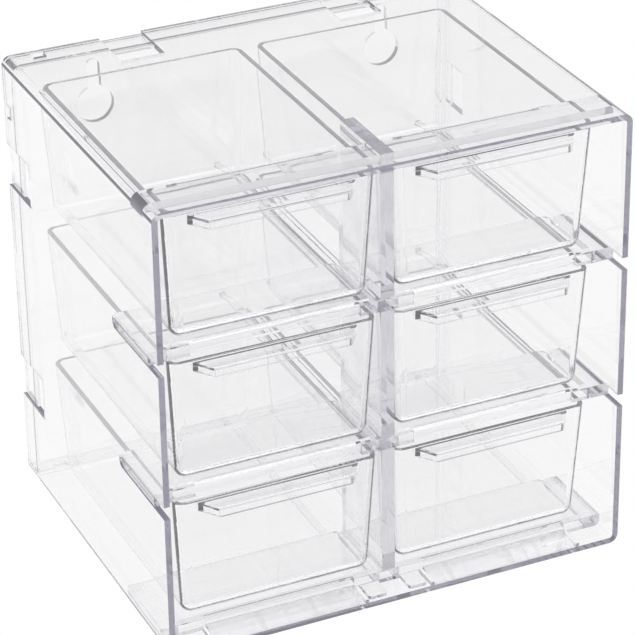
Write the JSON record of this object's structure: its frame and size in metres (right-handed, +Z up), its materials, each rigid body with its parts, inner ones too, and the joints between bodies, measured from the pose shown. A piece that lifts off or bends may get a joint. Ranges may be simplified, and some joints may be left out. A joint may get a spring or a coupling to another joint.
{
  "type": "drawer box",
  "caption": "Clear moulded desk or wall box with pull-out drawers in rows and columns, for make-up and jewellery.",
  "frame": {"origin": "middle of the casing's bounding box, on the surface it stands on", "axes": "+X to the right seen from the front, +Y to the rear, +Z up; the drawers open towards -Y"},
  "size_m": [0.175, 0.141, 0.17],
  "materials": {
    "clear_casing": "clear polished polystyrene, moulded",
    "clear_drawer": "clear polished polystyrene, moulded"
  },
  "bodies": {
    "casing": {"casing": "clear_casing", "back_panel": "clear_casing", "centre_post": "clear_casing", "shelf_top": "clear_casing", "shelf_middle": "clear_casing", "shelf_bottom": "clear_casing"},
    "drawer_top_left": {"drawer_top_left": "clear_drawer"},
    "drawer_top_right": {"drawer_top_right": "clear_drawer"},
    "drawer_middle_left": {"drawer_middle_left": "clear_drawer"},
    "drawer_middle_right": {"drawer_middle_right": "clear_drawer"},
    "drawer_bottom_left": {"drawer_bottom_left": "clear_drawer"},
    "drawer_bottom_right": {"drawer_bottom_right": "clear_drawer"}
  },
  "joints": [
    {"name": "drawer_top_left_slide", "type": "slide", "parent": "casing", "child": "drawer_top_left", "axis": [0, -1, 0], "range_m": [0, 0.085]},
    {"name": "drawer_top_right_slide", "type": "slide", "parent": "casing", "child": "drawer_top_right", "axis": [0, -1, 0], "range_m": [0, 0.085]},
    {"name": "drawer_middle_left_slide", "type": "slide", "parent": "casing", "child": "drawer_middle_left", "axis": [0, -1, 0], "range_m": [0, 0.085]},
    {"name": "drawer_middle_right_slide", "type": "slide", "parent": "casing", "child": "drawer_middle_right", "axis": [0, -1, 0], "range_m": [0, 0.085]},
    {"name": "drawer_bottom_left_slide", "type": "slide", "parent": "casing", "child": "drawer_bottom_left", "axis": [0, -1, 0], "range_m": [0, 0.085]},
    {"name": "drawer_bottom_right_slide", "type": "slide", "parent": "casing", "child": "drawer_bottom_right", "axis": [0, -1, 0], "range_m": [0, 0.085]}
  ]
}
